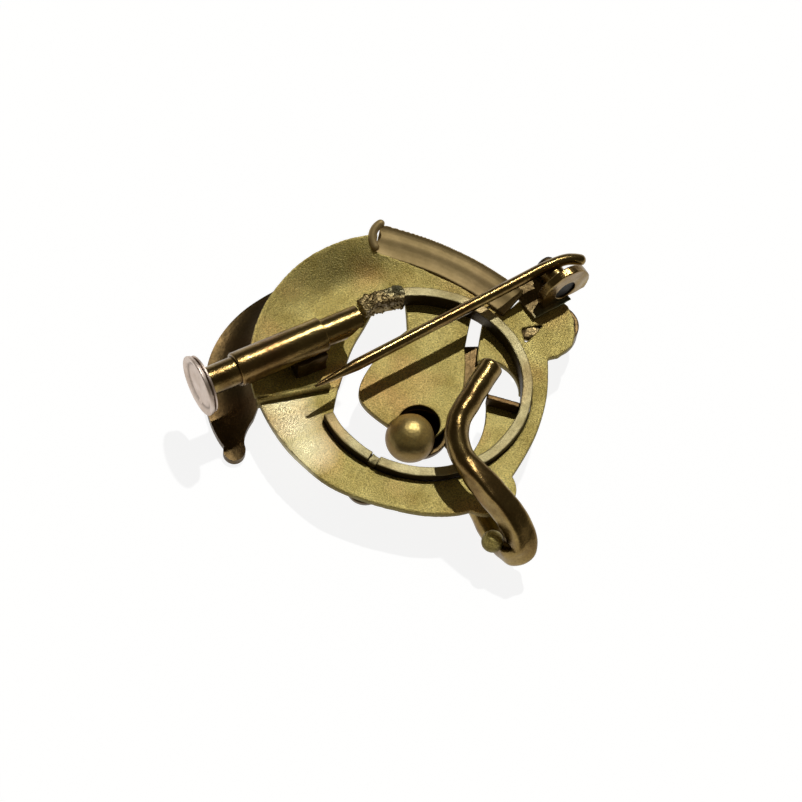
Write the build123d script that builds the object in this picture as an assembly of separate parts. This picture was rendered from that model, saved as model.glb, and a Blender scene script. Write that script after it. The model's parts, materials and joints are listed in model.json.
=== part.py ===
from build123d import *
import os
from math import cos, sin, radians

# Hollow-back flower brooch with a hinged pin, a sliding tube catch and a watch hook.
# It lies on its front with its open back upwards. Millimetres, +Z out of the back.
# Plan positions are taken from the centre of the back ring, heights from the front.

# ---- Driving dimensions ----
sheet = 0.5                  # thickness of the stamped gold sheet
ring_radius = 6.97           # back ring, middle of its strip
ring_width = 0.7
ring_height = 1.25
ring_top = 4.9               # height of the ring's upper face
ring_start, ring_end = -107, 130         # degrees, the soldered main ring
segment_start, segment_end = 213, 248    # degrees, the short lower left piece
body_reach = 3.43            # outer edge of the hollow back, past the ring's middle
body_centre = (-1.4, 0.7)    # of that edge
body_depth = 2.45            # leaves' upper face above the front
crest_start, crest_end = 52, 205         # degrees about the body centre
crest_rise = 1.0             # how far the crest's rim stands above its middle
band_rise = 0.25             # the same for the lower band
petal_reach = 2.7            # how far the side petal stands out past the body
horn_start, horn_end = 57, 87.5          # degrees about the horn's centre
horn_centre = (-5.65, -9.25)
horn_reach = 8.3             # its inner edge, past the body's own radius
horn_width = 2.1
horn_rise = 1.0
long_berry_radius = 1.65     # hollow round-ended berries on the front
small_berry_radius = 1.3
cup_radius = 1.95            # berry below the leaf's notch
berry_wall = 0.35
bud_radius = 1.65            # round bud in the notch
notch_radius = 1.4
stem_radius = 0.6
rim_height = 0.9             # small upright leaf edge
barrel_radius = 1.2          # catch tube
barrel_length = 6.5
barrel_wall = 0.11           # where the tube is widest inside
slide_clearance = 0.03
collar_step = 0.09           # collar on the slider, which stops it
collar_length = 0.6
lip = 0.5                    # closed-in ends of the tube
push_in = 2.2                # travel to the knob's stop
pull_out = 2.5
mouth_reach = 2.75           # slider beyond the tube's right end
slider_wall = 0.25
knob_radius = 2.1
knob_thickness = 0.6
knob_rim = 0.35
knob_dish = 0.2
pin_angle = 42               # direction of the pin, degrees
pin_radius = 0.4             # pin wire
pin_reach = 19.1             # hinge to point
point_length = 3.2
point_radius = 0.1
rivet_radius = 0.45
rivet_height = 5.6
rivet_head_radius = 0.75
rivet_clearance = 0.03
ear_radius = 1.95
ear_thickness = 0.6
ear_recess = 0.3             # sunk seat of the rivet's head
far_ear_radius = 0.65
far_ear_thickness = 0.3
knuckle_radius = 0.8
knuckle_width = 1.6
running = 0.05               # side clearance in the hinge
hook_radius = 0.8            # watch hook wire
hook_gap = 0.2               # between the hook's post and the ring
bead_radius = 0.75

# ---- Values that follow ----
body_radius = ring_radius + body_reach
horn_radius = body_radius + horn_reach
ring_inner = ring_radius - ring_width / 2
ring_outer = ring_radius + ring_width / 2
ring_foot = ring_top - ring_height
leaf_top = ring_foot                    # inner leaves hang under the ring
leaf_foot = leaf_top - sheet
band_top = leaf_top + sheet + 0.05      # the band meets the ring's outer wall
front = leaf_top - body_depth           # lowest level of the front
UP = (Align.CENTER, Align.CENTER, Align.MIN)


def polar(radius, degrees, centre=(0, 0)):
    """Point at a radius and angle about a centre."""
    angle = radians(degrees)
    return (centre[0] + radius * cos(angle), centre[1] + radius * sin(angle))


def past_edge(beyond, degrees, height):
    """Point beyond the body's edge."""
    return (*polar(body_radius + beyond, degrees, body_centre), height)


def largest(shape):
    """The biggest solid of a result."""
    return max(shape.solids(), key=lambda piece: piece.volume)


def prism(edges, low=-1.0, high=14.0):
    """Upright prism over a closed plan outline."""
    return Pos(0, 0, low) * extrude(make_face(edges), high - low)


def post(radius, centre=(0, 0), low=-1.0, high=14.0):
    """Upright cylinder."""
    return Pos(centre[0], centre[1], low) * Cylinder(radius, high - low, align=UP)


def sector(start, end, reach, centre=(0, 0)):
    """Upright wedge between two angles."""
    corner_a = polar(reach, start, centre)
    corner_b = polar(reach, end, centre)
    middle = polar(reach, (start + end) / 2, centre)
    rim = ThreePointArc(corner_a, middle, corner_b)
    return prism([Line(centre, corner_a), rim, Line(corner_b, centre)])


def turned_sheet(points, centre, thickness=sheet):
    """Sheet turned about an upright axis; points are (radius, height) of its upper face."""
    upper = [(radius, 0, height) for radius, height in points]
    lower = [(radius, 0, height - thickness) for radius, height in points]
    edges = [
        ThreePointArc(*upper),
        Line(upper[2], lower[2]),
        ThreePointArc(*lower),
        Line(lower[0], upper[0]),
    ]
    return Pos(centre[0], centre[1], 0) * revolve(make_face(edges), Axis.Z)


def raised(points, rise):
    """The same profile at another height."""
    return [(radius, height + rise) for radius, height in points]


def strip(start, end, high=ring_top):
    """Part of the back ring between two angles."""
    tube = post(ring_outer, low=ring_foot, high=high) - post(ring_inner)
    return largest(tube & sector(start, end, 3 * ring_radius))


def block(origin, ahead, aside, along, side, low, high):
    """Upright block; along and side are its reach from a point in two directions."""
    corners = [(along[0], side[0]), (along[1], side[0]), (along[1], side[1]), (along[0], side[1])]
    places = [origin + ahead * a + aside * s for a, s in corners]
    points = [(place.X, place.Y) for place in places]
    return prism(Polyline(*points, points[0]).edges(), low, high)


# ---- Back ring ----
back_ring = strip(ring_start, ring_end)
ring_segment = strip(segment_start, segment_end)

# ---- Opening in the middle of the back ----
gap_top = polar(ring_inner, ring_end)
gap_foot = polar(ring_inner, segment_start)
gap_middle = (-0.765 * ring_radius, 0.06 * ring_radius)
far_top = polar(3 * ring_radius, ring_end)
far_foot = polar(3 * ring_radius, segment_start)
left_strip = prism([
    ThreePointArc(gap_top, gap_middle, gap_foot),
    Line(gap_foot, far_foot),
    Line(far_foot, far_top),
    Line(far_top, gap_top),
])
opening = post(ring_outer) - left_strip

# ---- Places of the hinge and the catch, from the body's edge ----
pin_dir = Vector(cos(radians(pin_angle)), sin(radians(pin_angle)), 0)
side_dir = Vector(sin(radians(pin_angle)), -cos(radians(pin_angle)), 0)
rivet_at = Vector(*polar(body_radius + 2.18, 46.74, body_centre), rivet_height)
barrel_angle = 37.4
barrel_dir = Vector(cos(radians(barrel_angle)), sin(radians(barrel_angle)), 0)
barrel_side = Vector(sin(radians(barrel_angle)), -cos(radians(barrel_angle)), 0)
barrel_height = band_top + crest_rise + barrel_radius     # the tube lies on the crest's rim
barrel_at = Vector(*polar(body_radius + 1.1, 197.5, body_centre), barrel_height)

# ---- Stamped body ----
band_reach = 1.35 * body_radius
crest_shape = [
    (0.33 * body_radius, band_top),
    (0.72 * body_radius, band_top + 0.15 * crest_rise),
    (body_radius, band_top + crest_rise),
]
band_shape = [
    (0.33 * body_radius, band_top),
    (0.72 * body_radius, band_top + 0.2 * band_rise),
    (band_reach, band_top + 1.6 * band_rise),
]
crest_wedge = sector(crest_start, crest_end, 3 * body_radius, body_centre)
band_edge = Spline(*[
    polar(share * body_radius, degrees, body_centre)
    for share, degrees in [
        (0.985, 195), (0.955, 222), (0.97, 250), (1.008, 277), (1.08, 300), (0.99, 325),
        (0.935, 350), (0.94, 372), (1.0, 400), (1.0, 420),
    ]
])
band_plan = prism([
    band_edge,
    Line(band_edge @ 1, body_centre),
    Line(body_centre, band_edge @ 0),
])
hook_end = polar(ring_outer + hook_radius + hook_gap, -55.74)
hook_lobe = post(2.0, (hook_end[0] + 0.53, hook_end[1] - 0.17))
lobe_corners = [
    polar(share * body_radius, degrees, body_centre)
    for share, degrees in [(0.7, 24), (0.955, 18), (1.02, 18.3), (1.13, 21.5), (1.165, 24.5),
                           (1.2, 30), (1.21, 35.5), (1.17, 42), (0.7, 48)]
]
hinge_lobe = prism(Polyline(*lobe_corners, lobe_corners[0]).edges())
hinge_seat = block(rivet_at, pin_dir, side_dir, (-4.2, -0.6), (-0.9, 2.6), -1.0, 14.0)
slot_corners = [polar(0.855 * body_radius, 34.5, body_centre),
                polar(1.0 * body_radius, 32.5, body_centre),
                polar(0.835 * body_radius, 27.0, body_centre)]
slot = prism(Polyline(*slot_corners, slot_corners[0]).edges())
band_plan = band_plan + hook_lobe + hinge_lobe + hinge_seat
base_band = turned_sheet(band_shape, body_centre) & band_plan
base_band = largest(base_band - crest_wedge - opening - slot)
crest_petal = turned_sheet(crest_shape, body_centre) & crest_wedge
crest_petal = largest(crest_petal - opening)

# ---- Horn: long trough along the crest's upper right edge ----
horn_foot = band_top + 0.35
horn_shape = [
    (horn_radius, horn_foot),
    (horn_radius + 0.62 * horn_width, horn_foot + 0.3 * horn_rise),
    (horn_radius + horn_width, horn_foot + horn_rise),
]
horn_wedge = sector(horn_start, horn_end, 60, horn_centre)
horn_petal = (turned_sheet(horn_shape, horn_centre) & horn_wedge) - post(ring_outer)
horn_petal = largest(horn_petal)
over_horn = turned_sheet(raised(horn_shape, 5), horn_centre, 12) & horn_wedge
crest_petal = largest(crest_petal - over_horn)
base_band = largest(base_band - over_horn)

# rolled end of the horn: a thick lip that bulges to the left
roll_radius = 0.3
roll_foot = Vector(*polar(horn_radius + 0.25, horn_end, horn_centre), horn_foot + 0.55)
roll_tip = Vector(*polar(horn_radius + horn_width - roll_radius, horn_end, horn_centre),
                  horn_foot + horn_rise + 0.15)
roll_bulge = Vector(-0.35, 0, 0.05)
roll_path = ThreePointArc(roll_foot, (roll_foot + roll_tip) * 0.5 + roll_bulge, roll_tip)
horn_curl = sweep(Plane(origin=roll_path @ 0, z_dir=roll_path % 0) * Circle(roll_radius),
                  path=roll_path)
horn_curl += Pos(*roll_tip) * Sphere(roll_radius) + Pos(*roll_foot) * Sphere(roll_radius)
horn_curl = largest(horn_curl - horn_petal - turned_sheet(crest_shape, body_centre, 5))

# ---- Side petal below the crest's left edge ----
petal_outer = body_radius + petal_reach
petal_shape = [
    (body_radius - 0.9, band_top + 0.62 * crest_rise - sheet + 0.35),
    (body_radius + 0.6 * petal_reach, front + sheet),
    (petal_outer + 0.6, front + sheet + 0.12),
]
petal_ends = {
    "top": polar(body_radius, 138, body_centre),
    "tip": polar(petal_outer - 0.35, 211, body_centre),
    "notch": polar(petal_outer - 1.6, 213.5, body_centre),
    "root": polar(petal_outer - 2.7, 206, body_centre),
    "inside": polar(body_radius - 0.8, 200, body_centre),
    "start": polar(body_radius - 0.4, 138, body_centre),
}
petal_plan = prism([
    ThreePointArc(petal_ends["top"], polar(petal_outer, 178, body_centre), petal_ends["tip"]),
    ThreePointArc(petal_ends["tip"], polar(petal_outer - 0.85, 217, body_centre),
                  petal_ends["notch"]),
    ThreePointArc(petal_ends["notch"], polar(petal_outer - 1.9, 210, body_centre),
                  petal_ends["root"]),
    Line(petal_ends["root"], petal_ends["inside"]),
    ThreePointArc(petal_ends["inside"], polar(body_radius - 0.8, 168, body_centre),
                  petal_ends["start"]),
    Line(petal_ends["start"], petal_ends["top"]),
])
side_petal = turned_sheet(petal_shape, body_centre) & petal_plan
side_petal = largest(side_petal - crest_petal - base_band)

# ---- Leaves inside the ring ----
lap_radius = ring_radius                 # the leaves reach under the ring


def in_ring(*shares):
    """Point inside the ring, in shares of the ring's radius."""
    return (shares[0] * ring_radius, shares[1] * ring_radius)


def inner_plate(edges):
    """Flat leaf that ends under the ring."""
    return prism(edges, leaf_foot, leaf_top) & post(lap_radius)


leaf_left = Spline(in_ring(-0.24, 0.64), in_ring(-0.55, 0.11), in_ring(-0.585, -0.19),
                   in_ring(-0.3, -0.44), in_ring(0, -0.62))
leaf_right = Spline(in_ring(0, -0.62), in_ring(0.19, -0.5), in_ring(0.39, 0.07),
                    in_ring(0.34, 0.53))
center_leaf = inner_plate([
    leaf_left,
    leaf_right,
    Line(leaf_right @ 1, in_ring(0.36, 1.07)),
    Line(in_ring(0.36, 1.07), in_ring(-0.34, 1.07)),
    Line(in_ring(-0.34, 1.07), leaf_left @ 0),
])

# bud: hollow ball with a vent in the front, and the berry below it that darkens its recess
bud_at = (-0.25, -0.55 * ring_radius)
bud_height = leaf_top - 0.15
notch_at = (0.2, -0.38 * ring_radius)
cup_at = (0.3, -0.42 * ring_radius)
bud_cup = Pos(*bud_at, bud_height) * (Sphere(bud_radius) - Sphere(bud_radius - berry_wall))
bud_cup = largest(bud_cup - post(0.4 * bud_radius, bud_at, high=bud_height))
bud_space = Pos(*bud_at, bud_height) * Sphere(bud_radius)
center_leaf = largest(center_leaf - post(bud_radius, bud_at) - post(notch_radius, notch_at))


def berry(radius, centre, height, rim):
    """Hollow berry, open towards the back: round up to one height, straight to its rim."""
    place = Pos(centre[0], centre[1], height)
    solid = place * Sphere(radius) + post(radius, centre, low=height, high=rim + radius)
    inner = radius - berry_wall
    hollow = place * Sphere(inner) + post(inner, centre, low=height, high=rim + radius)
    return (solid - hollow) & post(radius + 1, centre, high=rim)


berry_center = largest(berry(cup_radius, cup_at, leaf_foot, leaf_foot) - bud_space)

# ---- Small petals at the right, inside the ring ----
upper_end = in_ring(0.93, 0.14)
upper_start = in_ring(0.47, 0.41)
small_upper_petal = largest(inner_plate([
    Line(in_ring(0.47, 1.1), polar(1.2 * ring_radius, 8)),
    Line(polar(1.2 * ring_radius, 8), upper_end),
    Spline(upper_end, in_ring(0.8, 0.38), in_ring(0.62, 0.455), upper_start),
    Line(upper_start, in_ring(0.47, 1.1)),
]))
lower_start = in_ring(0.62, 0)
lower_end = polar(0.85 * ring_radius, -50)
small_lower_leaf = largest(inner_plate([
    Line(lower_start, in_ring(1.2, -0.06)),
    Line(in_ring(1.2, -0.06), polar(1.3 * ring_radius, -50)),
    Line(polar(1.3 * ring_radius, -50), lower_end),
    Spline(lower_end, in_ring(0.64, -0.3), lower_start),
]))
rim_corners = [lower_start, in_ring(1.2, -0.06), in_ring(1.2, -0.12), in_ring(0.62, -0.06)]
leaf_rim = prism(Polyline(*rim_corners, rim_corners[0]).edges(), leaf_top, leaf_top + rim_height)
leaf_rim = largest(leaf_rim & post(ring_inner))

# ---- Stem below the leaves, beside the centre berry ----
stem_height = leaf_foot - 0.2
stem_x = cup_at[0] + cup_radius + stem_radius - 0.08
stem_path = Spline(
    (stem_x - 0.1, 0.62 * ring_radius, stem_height),
    (stem_x + 0.25, 0.35 * ring_radius, stem_height),
    (stem_x + 0.4, 0.05 * ring_radius, stem_height),
    (stem_x, -0.35 * ring_radius, stem_height),
    (stem_x - 0.1, -0.52 * ring_radius, stem_height),
)
stem_plane = Plane(origin=stem_path @ 0, z_dir=stem_path % 0)
flower_stem = sweep(stem_plane * Circle(stem_radius), path=stem_path)
flower_stem = largest((flower_stem & post(3 * ring_radius, high=leaf_foot)) - berry_center)

# ---- Berries on the front, below the band ----
berry_rim = leaf_foot + 0.5
inner_pieces = [base_band, small_upper_petal, small_lower_leaf, back_ring, flower_stem]
berry_right = berry(long_berry_radius, polar(body_radius + 0.88, 32.1, body_centre),
                    front + long_berry_radius, band_top - 0.15)
berry_lower = berry(small_berry_radius, polar(0.851 * body_radius, -97.8, body_centre),
                    berry_rim, berry_rim)
for piece in inner_pieces:
    berry_right -= piece
berry_right = largest(berry_right)
berry_lower = largest(berry_lower - base_band - back_ring - ring_segment)

# ---- Solder at the ring's joints ----
solder_coat = 0.15           # solder over the ring's end
solder_lump = post(ring_outer + solder_coat, low=ring_foot, high=ring_top + solder_coat)
solder_lump = (solder_lump - post(ring_inner - solder_coat)) & sector(
    ring_end - 20, ring_end + 6, 2 * ring_radius)
solder_lump = largest(solder_lump - back_ring - crest_petal)
solder_bead = strip(segment_end, ring_start + 360, ring_top - 0.2)

# ---- Catch: fixed tube, sliding tube and its knob ----


def on_barrel(along):
    """Plane across the catch's axis at a distance from the tube's left end."""
    return Plane(origin=barrel_at + barrel_dir * along, x_dir=barrel_side, z_dir=barrel_dir)


def rod(radius, start, end):
    """Cylinder along the catch's axis."""
    return on_barrel(start) * Cylinder(radius, end - start, align=UP)


collar_radius = barrel_radius - barrel_wall - slide_clearance
slider_radius = collar_radius - collar_step
bore_radius = slider_radius + slide_clearance
collar_start = lip + pull_out + slide_clearance
collar_end = collar_start + collar_length
pocket_end = collar_end + push_in + slide_clearance
catch_barrel = rod(barrel_radius, 0, barrel_length) - rod(bore_radius, 0, barrel_length)
catch_barrel = largest(catch_barrel - rod(collar_radius + slide_clearance, lip, pocket_end))
knob_start = -push_in - knob_thickness
slider_start = knob_start + knob_thickness
slider_end = barrel_length + mouth_reach
slider_tube = rod(slider_radius, slider_start, slider_end)
slider_tube += rod(collar_radius, collar_start, collar_end)
slider_tube -= rod(slider_radius - slider_wall, 0, slider_end)
mouth_plane = Plane(
    origin=barrel_at + barrel_dir * (slider_end - 0.25),
    x_dir=barrel_side,
    z_dir=barrel_dir * 0.5 + barrel_side * 0.45 - Vector(0, 0, 0.74),
)
slider_tube = largest(slider_tube - mouth_plane * Box(8, 8, 4, align=UP))
slider_knob = rod(knob_radius, knob_start, slider_start)
slider_knob = largest(slider_knob - rod(knob_radius - knob_rim, knob_start,
                                        knob_start + knob_dish))

# foot that carries the tube
catch_foot = block(barrel_at, barrel_dir, barrel_side, (barrel_length - 2.4, barrel_length - 0.2),
                   (-0.6 * barrel_radius, 1.1 * barrel_radius),
                   ring_foot, barrel_height - 0.45 * barrel_radius)
catch_foot -= rod(barrel_radius, -1, barrel_length + 1)
catch_foot = largest(catch_foot - turned_sheet(crest_shape, body_centre, 6) - ring_segment)

# ---- Hinge ----


def hinge_block(along, side, low, high):
    """Upright block in the pin's own directions, from the rivet."""
    return block(rivet_at, pin_dir, side_dir, along, side, low, high)


def across(radius, start, end):
    """Cylinder along the rivet's axis."""
    plane = Plane(origin=rivet_at + side_dir * start, x_dir=pin_dir, z_dir=side_dir)
    return plane * Cylinder(radius, end - start, align=UP)


plate_top = band_top + 0.45
knuckle_from = -pin_radius
knuckle_to = knuckle_from + knuckle_width
near_from = knuckle_to + running
near_to = near_from + ear_thickness
head_from = near_to - ear_recess
far_to = knuckle_from - running
far_from = far_to - far_ear_thickness
hinge_plate = hinge_block((-2.7, 0.4), (far_from, near_to + 0.3), band_top - 0.3, plate_top)
hinge_plate -= turned_sheet(band_shape, body_centre, 5) + horn_petal + crest_petal
hinge_plate = largest(hinge_plate)
near_ear = across(ear_radius, near_from, near_to)
near_ear += hinge_block((-1.5, 0.4), (near_from, near_to), plate_top, rivet_height)
near_ear -= across(rivet_radius + rivet_clearance, near_from, near_to)
near_ear -= across(rivet_head_radius + rivet_clearance, head_from, near_to)
near_ear = largest(near_ear & post(30, low=plate_top))
far_ear = across(far_ear_radius, far_from, far_to)
far_ear += hinge_block((-far_ear_radius, 0.4), (far_from, far_to), plate_top, rivet_height)
far_ear -= across(rivet_radius + rivet_clearance, far_from, far_to)
far_ear = largest(far_ear & post(30, low=plate_top))
hinge_rivet = across(rivet_radius, far_from, head_from)
hinge_rivet += across(rivet_head_radius, head_from, head_from + 0.15)
hinge_rivet += across(far_ear_radius - 0.1, far_from - 0.06, far_from)
hinge_rivet = largest(hinge_rivet)

# ---- Pin ----
pin_rise = rivet_radius + pin_radius + 0.05      # pin wire above the rivet's axis
tail_start = -knuckle_radius


def on_pin(along, side=0.0, down=0.0):
    """Point on the pin's line, from above the rivet towards the tail."""
    return rivet_at + pin_dir * along + side_dir * side + Vector(0, 0, pin_rise - down)


stem_start = point_length - pin_reach
pin_path = Line(on_pin(stem_start), on_pin(tail_start))
tail_path = Spline(
    on_pin(tail_start),
    on_pin(0.8, 0.12, 0.06),
    on_pin(2.35, 0.72, 0.5),
    tangents=(pin_dir, pin_dir * 0.8 + side_dir * 0.5 - Vector(0, 0, 0.35)),
)
pin_stem = sweep(Plane(origin=pin_path @ 0, z_dir=pin_dir) * Circle(pin_radius), path=pin_path)
pin_stem += sweep(Plane(origin=tail_path @ 0, z_dir=tail_path % 0) * Circle(pin_radius),
                  path=tail_path)
pin_stem += Pos(*(tail_path @ 1)) * Sphere(pin_radius)
point_plane = Plane(origin=on_pin(stem_start), z_dir=pin_dir * -1)
pin_stem += point_plane * Cone(pin_radius, point_radius, point_length, align=UP)
pin_stem = largest(pin_stem)
pin_knuckle = across(knuckle_radius, knuckle_from, knuckle_to)
pin_knuckle -= across(rivet_radius + rivet_clearance, knuckle_from, knuckle_to)
pin_knuckle = largest(pin_knuckle - pin_stem)

# ---- Watch hook: bent wire, from under the band round behind the back ----
hook_low = front + hook_radius
hook_path = Spline(
    (4.24, 0.38, 7.6),
    (3.5, -1.6, 7.5),
    (2.65, -4.3, 7.3),
    (3.2, -6.3, 6.9),
    past_edge(0.42, -53.4, 6.4),
    past_edge(2.7, -50.1, 5.5),
    past_edge(4.32, -49.55, 4.1),
    past_edge(4.06, -51.6, 3.0),
    past_edge(2.04, -51.84, hook_low),
    (*hook_end, hook_low + 0.2),
)
hook_plane = Plane(origin=hook_path @ 0, z_dir=hook_path % 0)
watch_hook = sweep(hook_plane * Circle(hook_radius), path=hook_path)
hook_ends = watch_hook.faces().filter_by(GeomType.PLANE)
watch_hook = largest(fillet([face.edges()[0] for face in hook_ends], 0.5 * hook_radius))
hook_post = post(hook_radius, hook_end, low=hook_low + 0.2, high=band_top)
hook_post = largest(hook_post - base_band - back_ring - small_lower_leaf - watch_hook)
bead_on = 0.77                           # place of the bead along the hook
bead_side = Vector(-0.756, -0.02, 0.654)
bead_side -= (hook_path % bead_on) * bead_side.dot(hook_path % bead_on)
bead_centre = hook_path @ bead_on + bead_side.normalized() * (hook_radius + bead_radius + 0.02)
hook_bead = Pos(*bead_centre) * Sphere(bead_radius)

parts = {
    "base_band": base_band,
    "crest_petal": crest_petal,
    "horn_petal": horn_petal,
    "horn_curl": horn_curl,
    "side_petal": side_petal,
    "center_leaf": center_leaf,
    "small_upper_petal": small_upper_petal,
    "small_lower_leaf": small_lower_leaf,
    "leaf_rim": leaf_rim,
    "flower_stem": flower_stem,
    "bud_cup": bud_cup,
    "berry_center": berry_center,
    "berry_right": berry_right,
    "berry_lower": berry_lower,
    "back_ring": back_ring,
    "ring_segment": ring_segment,
    "solder_lump": solder_lump,
    "solder_bead": solder_bead,
    "catch_barrel": catch_barrel,
    "catch_foot": catch_foot,
    "slider_tube": slider_tube,
    "slider_knob": slider_knob,
    "hinge_plate": hinge_plate,
    "near_ear": near_ear,
    "far_ear": far_ear,
    "hinge_rivet": hinge_rivet,
    "pin_stem": pin_stem,
    "pin_knuckle": pin_knuckle,
    "watch_hook": watch_hook,
    "hook_bead": hook_bead,
    "hook_post": hook_post,
}

# ---- Origin at the bottom centre of the whole ----
boxes = [piece.bounding_box() for piece in parts.values()]
low = [min(getattr(box.min, letter) for box in boxes) for letter in "XYZ"]
high = [max(getattr(box.max, letter) for box in boxes) for letter in "XYZ"]
shift = Pos(-(low[0] + high[0]) / 2, -(low[1] + high[1]) / 2, -low[2])
os.makedirs("parts", exist_ok=True)
for name, piece in parts.items():
    export_step(shift * piece, f"parts/{name}.step")
print("shift", [round(value, 4) for value in shift.position])
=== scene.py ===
"""Looks of the hollow-back flower brooch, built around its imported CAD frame.

The brooch lies on its front with its open back upwards. Every length is in metres in the
frame's own axes, and places come from the frame's boxes and joints.
"""

import json
import logging
import math
from dataclasses import dataclass
from enum import Enum
from typing import Any

import bmesh
import bpy
from mathutils import Matrix, Vector, noise

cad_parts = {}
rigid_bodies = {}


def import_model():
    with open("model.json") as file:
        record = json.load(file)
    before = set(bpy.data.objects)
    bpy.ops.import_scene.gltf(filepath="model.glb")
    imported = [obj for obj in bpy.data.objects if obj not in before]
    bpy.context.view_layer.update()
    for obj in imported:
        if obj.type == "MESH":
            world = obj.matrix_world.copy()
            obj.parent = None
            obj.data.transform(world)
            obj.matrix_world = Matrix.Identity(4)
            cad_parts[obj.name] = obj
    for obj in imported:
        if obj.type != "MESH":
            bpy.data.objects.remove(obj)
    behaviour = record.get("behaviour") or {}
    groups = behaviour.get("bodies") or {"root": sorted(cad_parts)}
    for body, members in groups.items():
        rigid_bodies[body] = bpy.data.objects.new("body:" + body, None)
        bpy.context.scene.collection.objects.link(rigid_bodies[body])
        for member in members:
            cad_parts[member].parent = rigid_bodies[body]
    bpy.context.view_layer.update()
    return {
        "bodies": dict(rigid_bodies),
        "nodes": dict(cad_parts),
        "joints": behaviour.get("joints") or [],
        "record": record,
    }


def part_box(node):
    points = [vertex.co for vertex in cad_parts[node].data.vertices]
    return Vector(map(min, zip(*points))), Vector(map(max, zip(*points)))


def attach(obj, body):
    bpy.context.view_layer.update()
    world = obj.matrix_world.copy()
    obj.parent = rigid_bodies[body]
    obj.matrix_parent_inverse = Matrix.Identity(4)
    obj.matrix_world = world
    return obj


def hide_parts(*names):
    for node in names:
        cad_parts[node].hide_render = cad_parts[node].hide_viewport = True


MM = 0.001
PATCH_MM = 2.2          # size of the patches in which colour and gloss wander
CLOUD_MM = 3.4          # size of the faint warm clouds
LATHE_STEP_MM = 0.12    # longest face along a turned outline
LOG = logging.getLogger("brooch")
RUB_SHEEN = "rubbed_sheen"          # mesh attribute: how far handling has polished the spot, 0 to 1, and how strong its painted highlight is
RUB_GAIN = 0.22         # roughness that a fully rubbed spot loses
PAINTED_SHEEN_COLOUR = "#f4ecc8"  # painted highlight: pale colour mixed into the rubbed spot


class Body(Enum):
    """The rigid bodies of the brooch."""

    ROOT = "root"
    PIN = "pin"
    SLIDER = "slider"


class Slot(Enum):
    """The material slots that the record names."""

    BLOOMED = "bloomed_gold"
    SMOOTH = "smooth_gold"
    PALE = "pale_gold"
    POLISHED = "polished_gold"
    ROSE = "rose_gold"
    STEEL = "dark_steel"


# ---------------------------------------------------------------- colour and nodes


def linear(code: str) -> tuple[float, float, float, float]:
    """Turn an sRGB hex colour into linear values.

    Args:
        code: Colour such as "#c8b070".

    Returns:
        Linear red, green, blue and an alpha of one.
    """
    parts = [int(code[i:i + 2], 16) / 255 for i in (1, 3, 5)]
    red, green, blue = (
        part / 12.92 if part <= 0.04045 else ((part + 0.055) / 1.055) ** 2.4 for part in parts
    )
    return red, green, blue, 1.0


def add_node(
    tree: bpy.types.NodeTree,
    kind: str,
    inputs: dict[int | str, Any] | None = None,
    **settings: Any,
) -> bpy.types.Node:
    """Add a node, set it up and link what feeds it.

    Args:
        tree: Node tree that gets the node.
        kind: Blender's type name of the node.
        inputs: Socket names or numbers with a value or an output socket to link.
        settings: Attributes to set on the node.

    Returns:
        The new node.
    """
    node = tree.nodes.new(kind)
    for key, value in settings.items():
        setattr(node, key, value)
    for key, value in (inputs or {}).items():
        if isinstance(value, bpy.types.NodeSocket):
            tree.links.new(value, node.inputs[key])
        else:
            node.inputs[key].default_value = value
    return node


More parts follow.
